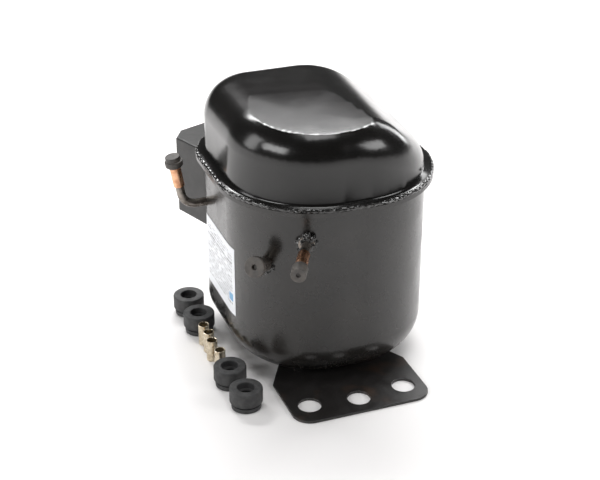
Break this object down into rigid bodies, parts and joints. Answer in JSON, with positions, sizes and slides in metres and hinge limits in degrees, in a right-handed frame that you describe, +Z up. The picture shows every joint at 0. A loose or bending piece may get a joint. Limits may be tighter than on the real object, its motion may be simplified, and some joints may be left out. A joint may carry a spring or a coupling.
{
  "type": "hermetic reciprocating compressor",
  "caption": "Hermetic reciprocating refrigeration compressor: welded black steel shell on foot plates, sprung motor and pump inside, plugged tubes, terminal cover and loose mounting kit.",
  "frame": {"origin": "centre of the base hole pattern, on the underside of the foot plates", "axes": "+Z up; X along each row of holes; -Y towards the front foot plate, under the tubes"},
  "size_m": [0.1763, 0.2167, 0.1945],
  "materials": {
    "can_paint": "satin black paint on deep drawn steel",
    "lid_paint": "gloss black paint on deep drawn steel",
    "plate_paint": "satin black paint on pressed steel",
    "weld": "rough arc weld under black paint",
    "tube_steel": "copper plated steel tube under thin black paint",
    "tube_copper": "bare drawn copper",
    "cap_rubber": "moulded rubber",
    "grommet_rubber": "moulded rubber",
    "sleeve_metal": "yellow zinc plated steel tube",
    "label_foil": "printed foil label",
    "cover_plastic": "moulded black plastic",
    "relay_plastic": "moulded dark plastic",
    "overload_case": "moulded dark plastic",
    "glass_seal": "fused glass",
    "pin_metal": "plated steel",
    "bracket_steel": "zinc plated sheet",
    "cast_iron": "as cast, machined faces",
    "machined_steel": "ground",
    "bearing_steel": "polished",
    "lamination": "stacked electrical sheet",
    "winding_copper": "enamelled copper wire",
    "rotor_aluminium": "die cast",
    "head_aluminium": "die cast",
    "spring_steel": "drawn spring wire",
    "muffler_plastic": "moulded plastic",
    "gasket_fibre": "pressed fibre",
    "lead_sleeve": "braided sleeve over wire",
    "reed_steel": "rolled strip"
  },
  "bodies": {
    "shell": {"lower_shell": "can_paint", "upper_shell": "lid_paint", "seam_weld_bead": "weld", "front_foot_plate": "plate_paint", "rear_foot_plate": "plate_paint", "rating_label": "label_foil", "suction_connector": "tube_steel", "discharge_connector": "tube_steel", "discharge_copper_sleeve": "tube_copper", "process_connector": "tube_steel", "process_copper_sleeve": "tube_copper", "terminal_body": "bracket_steel", "terminal_glass_seals": "glass_seal", "terminal_pins": "pin_metal", "terminal_bracket": "bracket_steel", "ground_screw": "pin_metal", "start_relay": "relay_plastic", "overload_protector": "overload_case", "spring_seats": "machined_steel"},
    "terminal_cover": {"terminal_cover": "cover_plastic"},
    "suction_plug": {"suction_plug": "cap_rubber"},
    "discharge_plug": {"discharge_plug": "cap_rubber"},
    "process_tube_cap": {"process_tube_cap": "cap_rubber"},
    "pump": {"crankcase_block": "cast_iron", "thrust_bearing": "bearing_steel", "stator_core": "lamination", "run_winding": "winding_copper", "start_winding": "winding_copper", "stator_bolts": "machined_steel", "valve_plate": "machined_steel", "valve_gasket": "gasket_fibre", "head_gasket": "gasket_fibre", "cylinder_head": "head_aluminium", "head_bolts": "machined_steel", "suction_muffler": "muffler_plastic", "discharge_muffler_covers": "machined_steel", "discharge_valve_stop": "machined_steel", "discharge_loop_tube": "tube_copper", "motor_leads": "lead_sleeve", "suspension_springs": "spring_steel"},
    "suction_reed": {"suction_reed": "reed_steel"},
    "discharge_reed": {"discharge_reed": "reed_steel"},
    "crankshaft": {"crankshaft": "machined_steel", "counterweight": "cast_iron", "rotor_core": "lamination", "rotor_cage": "rotor_aluminium", "oil_pickup": "machined_steel"},
    "crankpin_gallery_plug": {"crankpin_gallery_plug": "machined_steel"},
    "slide_block": {"slide_block": "machined_steel"},
    "piston": {"piston": "machined_steel"},
    "rubber_grommet_1": {"rubber_grommet_1": "grommet_rubber"},
    "spacer_sleeve_1": {"spacer_sleeve_1": "sleeve_metal"},
    "rubber_grommet_2": {"rubber_grommet_2": "grommet_rubber"},
    "spacer_sleeve_2": {"spacer_sleeve_2": "sleeve_metal"},
    "rubber_grommet_3": {"rubber_grommet_3": "grommet_rubber"},
    "spacer_sleeve_3": {"spacer_sleeve_3": "sleeve_metal"},
    "rubber_grommet_4": {"rubber_grommet_4": "grommet_rubber"},
    "spacer_sleeve_4": {"spacer_sleeve_4": "sleeve_metal"}
  },
  "joints": [
    {"name": "terminal_cover_pull", "type": "slide", "parent": "shell", "child": "terminal_cover", "axis": [-0.3584, 0.9336, 0], "range_m": [0, 0.045]},
    {"name": "suction_plug_pull", "type": "slide", "parent": "shell", "child": "suction_plug", "axis": [-0.6468, -0.6818, 0.3419], "range_m": [0, 0.06]},
    {"name": "discharge_plug_pull", "type": "slide", "parent": "shell", "child": "discharge_plug", "axis": [-0.4695, -0.8829, 0], "range_m": [0, 0.06]},
    {"name": "process_cap_pull", "type": "slide", "parent": "shell", "child": "process_tube_cap", "axis": [-0.1736, 0, 0.9848], "range_m": [0, 0.06]},
    {"name": "suspension_bounce", "type": "slide", "parent": "shell", "child": "pump", "axis": [0, 0, 1], "range_m": [-0.003, 0.003], "stiffness_N_per_m": 20000, "springref_m": 0.00233, "deforming": ["suspension_springs", "discharge_loop_tube", "motor_leads"]},
    {"name": "crank_spin", "type": "hinge", "parent": "pump", "child": "crankshaft", "pos_m": [0.0045, -0.002, 0], "axis": [0, 0, 1], "continuous": true},
    {"name": "slide_block_turn", "type": "hinge", "parent": "crankshaft", "child": "slide_block", "pos_m": [-0.0045, -0.002, 0.139], "axis": [0, 0, 1], "continuous": true},
    {"name": "gallery_plug_turn", "type": "hinge", "parent": "crankshaft", "child": "crankpin_gallery_plug", "pos_m": [0, -0.002, 0.12], "axis": [0, 0, 1], "continuous": true},
    {"name": "piston_stroke", "type": "hinge", "parent": "crankpin_gallery_plug", "child": "piston", "pos_m": [0.0045, -0.002, 0.139], "axis": [0, 0, 1], "continuous": true},
    {"name": "suction_reed_lift", "type": "hinge", "parent": "pump", "child": "suction_reed", "pos_m": [-0.0025, 0.04898, 0.1295], "axis": [1, 0, 0], "range_deg": [0, 5], "stiffness_Nm_per_rad": 0.02},
    {"name": "discharge_reed_lift", "type": "hinge", "parent": "pump", "child": "discharge_reed", "pos_m": [0.0115, 0.05202, 0.13], "axis": [-1, 0, 0], "range_deg": [0, 5], "stiffness_Nm_per_rad": 0.02},
    {"name": "rubber_grommet_1_lift", "type": "slide", "parent": "shell", "child": "rubber_grommet_1", "axis": [-0.5, 0, 0.866], "range_m": [0, 0.05]},
    {"name": "rubber_grommet_2_lift", "type": "slide", "parent": "shell", "child": "rubber_grommet_2", "axis": [-0.5, 0, 0.866], "range_m": [0, 0.05]},
    {"name": "rubber_grommet_3_lift", "type": "slide", "parent": "shell", "child": "rubber_grommet_3", "axis": [-0.5, 0, 0.866], "range_m": [0, 0.05]},
    {"name": "rubber_grommet_4_lift", "type": "slide", "parent": "shell", "child": "rubber_grommet_4", "axis": [-0.5, 0, 0.866], "range_m": [0, 0.05]},
    {"name": "spacer_sleeve_1_lift", "type": "slide", "parent": "shell", "child": "spacer_sleeve_1", "axis": [-0.5, 0, 0.866], "range_m": [0, 0.05]},
    {"name": "spacer_sleeve_2_lift", "type": "slide", "parent": "shell", "child": "spacer_sleeve_2", "axis": [-0.5, 0, 0.866], "range_m": [0, 0.05]},
    {"name": "spacer_sleeve_3_lift", "type": "slide", "parent": "shell", "child": "spacer_sleeve_3", "axis": [-0.5, 0, 0.866], "range_m": [0, 0.05]},
    {"name": "spacer_sleeve_4_lift", "type": "slide", "parent": "shell", "child": "spacer_sleeve_4", "axis": [-0.5, 0, 0.866], "range_m": [0, 0.05]}
  ],
  "couplings": [
    {"joint": "slide_block_turn", "follows": "crank_spin", "ratio": -1},
    {"joint": "gallery_plug_turn", "follows": "crank_spin", "ratio": -2},
    {"joint": "piston_stroke", "follows": "crank_spin", "ratio": 1}
  ]
}
